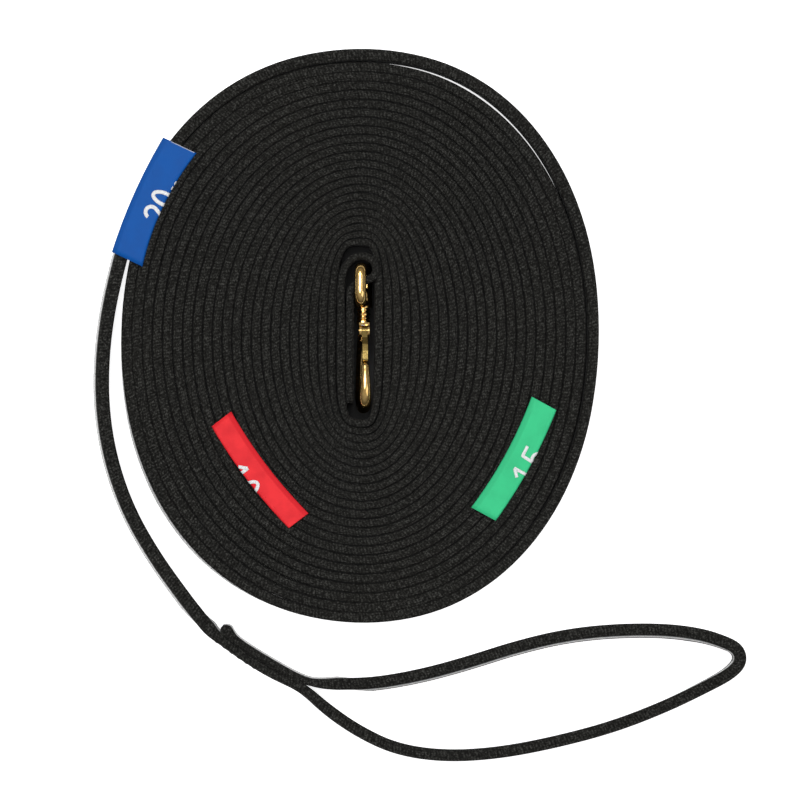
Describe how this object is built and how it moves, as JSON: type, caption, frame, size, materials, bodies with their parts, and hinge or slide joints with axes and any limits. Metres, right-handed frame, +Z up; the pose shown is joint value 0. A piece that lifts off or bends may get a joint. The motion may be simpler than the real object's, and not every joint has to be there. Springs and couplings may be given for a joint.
{
  "type": "training leash",
  "caption": "Long flat-webbing training leash wound on edge into an oval coil, with coloured length markers, a sewn hand loop and a brass swivel trigger snap.",
  "frame": {"origin": "on the surface that the leash lies on, under the middle of the coil", "axes": "+Z up out of the coil's face; +Y along the coil's long axis and the snap, towards the snap's eye; +X to the right"},
  "size_m": [0.2435, 0.2663, 0.0241],
  "materials": {
    "webbing": "woven, soft",
    "thread": "matt thread",
    "marker_red": "smooth printed tape",
    "marker_green": "smooth printed tape",
    "marker_blue": "smooth printed tape",
    "brass": "polished",
    "spring_steel": "bright"
  },
  "bodies": {
    "leash": {"webbing_coil": "webbing", "webbing_tail": "webbing", "hand_loop": "webbing", "handle_splice": "webbing", "handle_stitching": "thread", "snap_end_loop": "webbing", "snap_end_splice": "webbing", "snap_end_stitching": "thread", "swivel_eye": "brass", "marker_10": "marker_red", "marker_15": "marker_green", "marker_20": "marker_blue"},
    "snap": {"snap_body": "brass", "swivel_post": "brass", "lever_pin": "brass", "lever_spring": "spring_steel"},
    "lever": {"trigger_lever": "brass"}
  },
  "joints": [
    {"name": "snap_swivel", "type": "hinge", "parent": "leash", "child": "snap", "pos_m": [0.0005, 0.009, 0.0123], "axis": [0, 1, 0], "range_deg": [-14, 0]},
    {"name": "lever_hinge", "type": "hinge", "parent": "snap", "child": "lever", "pos_m": [0.00076, 0.002, 0.01479], "axis": [0.9945, 0, -0.1045], "range_deg": [0, 35], "stiffness_Nm_per_rad": 0.01, "springref_deg": -17.19, "deforming": ["lever_spring"]}
  ]
}
